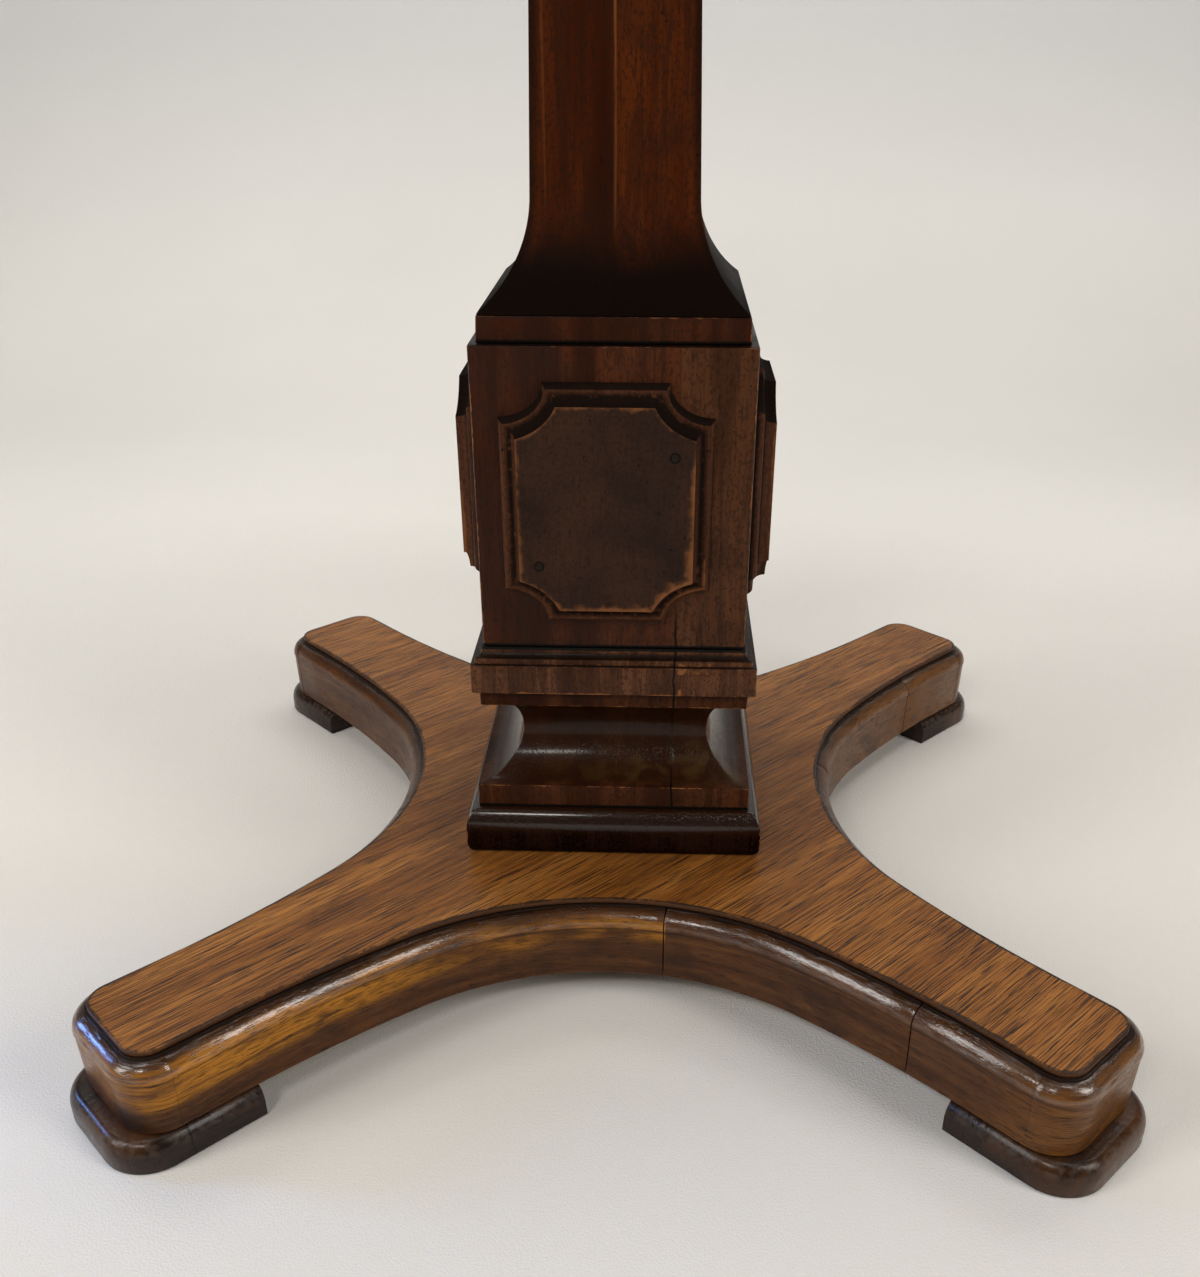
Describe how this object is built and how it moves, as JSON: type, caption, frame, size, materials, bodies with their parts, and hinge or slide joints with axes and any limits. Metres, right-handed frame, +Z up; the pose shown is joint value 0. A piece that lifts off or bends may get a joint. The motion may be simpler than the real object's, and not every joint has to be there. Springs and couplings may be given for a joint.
{
  "type": "pedestal end table",
  "caption": "Mahogany pedestal end table: square moulded column with raised panels on a concave-sided four-armed platform with pad feet, carrying a square top.",
  "frame": {"origin": "on the floor under the middle of the column", "axes": "+Z up along the column, -Y towards the front bay, so the arms lie on the diagonals"},
  "size_m": [0.5756, 0.5756, 0.73],
  "materials": {
    "column_mahogany": "dark red-brown mahogany, old shellac polish, worn to orange on the arrises",
    "panel_mahogany": "near-black mahogany, satin shellac",
    "veneer_mahogany": "orange-brown mahogany veneer with dark pore streaks, satin",
    "edge_mahogany": "glossy shellac over mahogany with amber and dark patches",
    "foot_mahogany": "very dark stained mahogany, rubbed grey on its round",
    "core_pine": "bare pine, hidden under veneer and lipping",
    "dowel_beech": "bare turned beech",
    "pin_dark": "dark wooden pegs, cut off nearly flush",
    "screw_steel": "dull steel wood screws"
  },
  "bodies": {
    "root": {"bearer_board": "column_mahogany", "capital_block": "column_mahogany", "centre_dowel": "dowel_beech", "column_screw_left": "screw_steel", "column_screw_right": "screw_steel", "die_block": "column_mahogany", "edge_cap_back_left": "edge_mahogany", "edge_cap_back_right": "edge_mahogany", "edge_cap_front_left": "edge_mahogany", "edge_cap_front_right": "edge_mahogany", "edge_strip_back_long": "edge_mahogany", "edge_strip_back_middle": "edge_mahogany", "edge_strip_back_short": "edge_mahogany", "edge_strip_front_long": "edge_mahogany", "edge_strip_front_middle": "edge_mahogany", "edge_strip_front_short": "edge_mahogany", "edge_strip_left_long": "edge_mahogany", "edge_strip_left_middle": "edge_mahogany", "edge_strip_left_short": "edge_mahogany", "edge_strip_right_long": "edge_mahogany", "edge_strip_right_middle": "edge_mahogany", "edge_strip_right_short": "edge_mahogany", "foot_back_left": "foot_mahogany", "foot_back_right": "foot_mahogany", "foot_front_left": "foot_mahogany", "foot_front_right": "foot_mahogany", "foot_screw_back_left": "screw_steel", "foot_screw_back_right": "screw_steel", "foot_screw_front_left": "screw_steel", "foot_screw_front_right": "screw_steel", "neck_block": "column_mahogany", "panel_back": "panel_mahogany", "panel_front": "panel_mahogany", "panel_left": "panel_mahogany", "panel_right": "panel_mahogany", "pin_back_lower": "pin_dark", "pin_back_upper": "pin_dark", "pin_front_lower": "pin_dark", "pin_front_upper": "pin_dark", "pin_left_lower": "pin_dark", "pin_left_upper": "pin_dark", "pin_right_lower": "pin_dark", "pin_right_upper": "pin_dark", "platform_core": "core_pine", "platform_veneer": "veneer_mahogany", "plinth_block": "column_mahogany", "scotia_block": "column_mahogany", "shaft_left_half": "column_mahogany", "shaft_right_half": "column_mahogany", "top_core": "core_pine", "top_screw_back_left": "screw_steel", "top_screw_back_right": "screw_steel", "top_screw_front_left": "screw_steel", "top_screw_front_right": "screw_steel", "top_strip_back": "edge_mahogany", "top_strip_front": "edge_mahogany", "top_strip_left": "edge_mahogany", "top_strip_right": "edge_mahogany", "top_veneer": "veneer_mahogany", "torus_base": "column_mahogany"}
  },
  "joints": []
}
